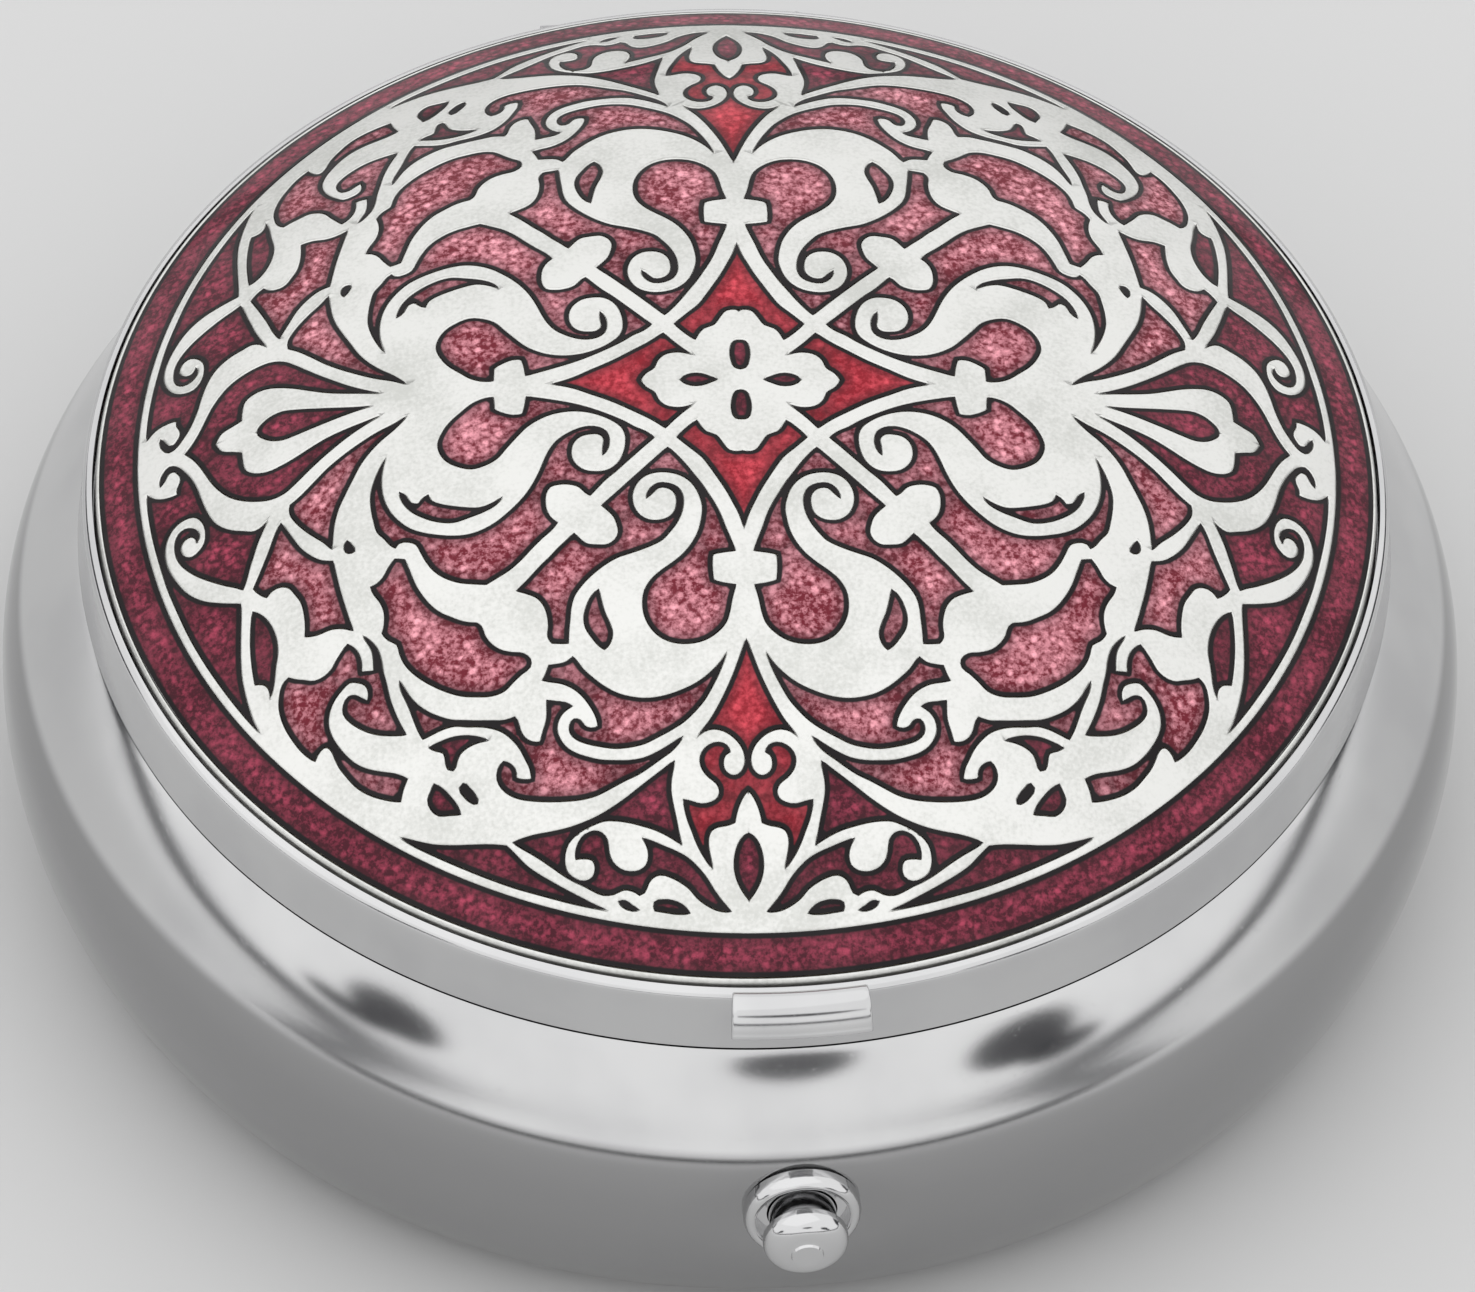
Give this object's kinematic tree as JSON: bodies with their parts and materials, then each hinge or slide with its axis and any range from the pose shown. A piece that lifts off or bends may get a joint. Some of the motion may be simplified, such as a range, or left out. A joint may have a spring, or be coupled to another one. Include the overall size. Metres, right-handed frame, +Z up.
{
  "type": "round push-button pill box",
  "caption": "Round bulged metal pill box with a hinged domed lid bearing a red enamel arabesque, a push-button catch, a thumb tab, and a moulded tray of wells inside.",
  "frame": {"origin": "centre of the flat the box stands on, on the box's axis", "axes": "+Z up along the axis of the round box, -Y towards the push button, +Y towards the hinge, +X to the right as seen from the button"},
  "size_m": [0.05, 0.0519, 0.0217],
  "materials": {
    "bright_plate": "bright polished plating",
    "satin_steel": "satin sheet and wire",
    "silver_plate": "silver plated, polished, fine grain",
    "red_enamel": "glossy translucent enamel with a granular ground",
    "adhesive": "cured clear bond",
    "tray_plastic": "moulded, semi gloss",
    "mirror_glass": "silvered glass"
  },
  "bodies": {
    "base": {"base_shell": "bright_plate", "inner_collar": "satin_steel", "pill_tray": "tray_plastic", "button_eyelet": "bright_plate", "catch_bracket": "satin_steel", "base_hinge_leaf": "bright_plate", "hinge_pin": "satin_steel", "catch_spring": "satin_steel"},
    "button": {"push_button": "bright_plate", "stem_clip": "satin_steel", "catch_plate": "satin_steel"},
    "lid": {"lid_shell": "bright_plate", "medallion_plate": "silver_plate", "enamel_layer": "red_enamel", "adhesive_disc": "adhesive", "thumb_tab": "bright_plate", "lid_hook": "satin_steel", "lid_hinge_leaf": "bright_plate", "lid_mirror": "mirror_glass", "mirror_ring": "bright_plate"}
  },
  "joints": [
    {"name": "lid_hinge", "type": "hinge", "parent": "base", "child": "lid", "pos_m": [0, 0.023, 0.01315], "axis": [-1, 0, 0], "range_deg": [0, 105]},
    {"name": "button_slide", "type": "slide", "parent": "base", "child": "button", "axis": [0, 1, 0], "range_m": [0, 0.0009], "stiffness_N_per_m": 1500, "springref_m": -0.0004, "deforming": ["catch_spring"]}
  ]
}
